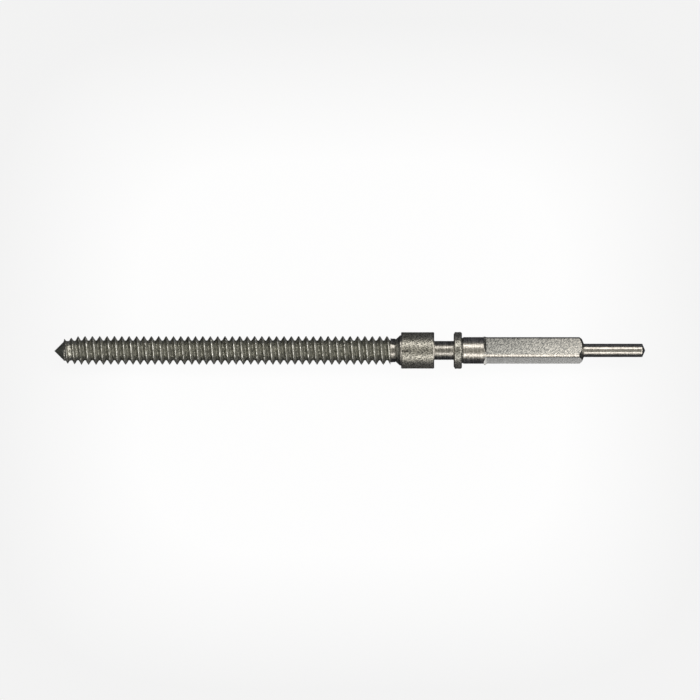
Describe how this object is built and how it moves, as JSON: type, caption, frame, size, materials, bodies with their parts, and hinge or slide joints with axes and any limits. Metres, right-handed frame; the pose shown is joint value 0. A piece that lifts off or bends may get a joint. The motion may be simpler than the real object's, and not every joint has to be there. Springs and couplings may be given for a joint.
{
  "type": "watch stem",
  "caption": "Steel winding stem with a crown thread, hub, setting lever groove, pinion seat, clutch square and end pivot.",
  "frame": {"origin": "on the stem's axis, at the middle of the hub", "axes": "+X along the stem from the crown thread to the end pivot, +Z out of one flat of the square, +Y out of the next flat"},
  "size_m": [0.018, 0.0012, 0.0012],
  "materials": {
    "thread_steel": "dark cut thread with bright crests",
    "turned_steel": "fine turned",
    "hub_steel": "finely pitted satin",
    "milled_steel": "granular milled satin",
    "polished_steel": "polished"
  },
  "bodies": {
    "root": {"crown_thread": "thread_steel", "thread_relief": "turned_steel", "hub": "hub_steel", "lever_neck": "turned_steel", "collar": "turned_steel", "pinion_seat": "turned_steel", "clutch_square": "milled_steel", "end_pivot": "polished_steel"}
  },
  "joints": []
}
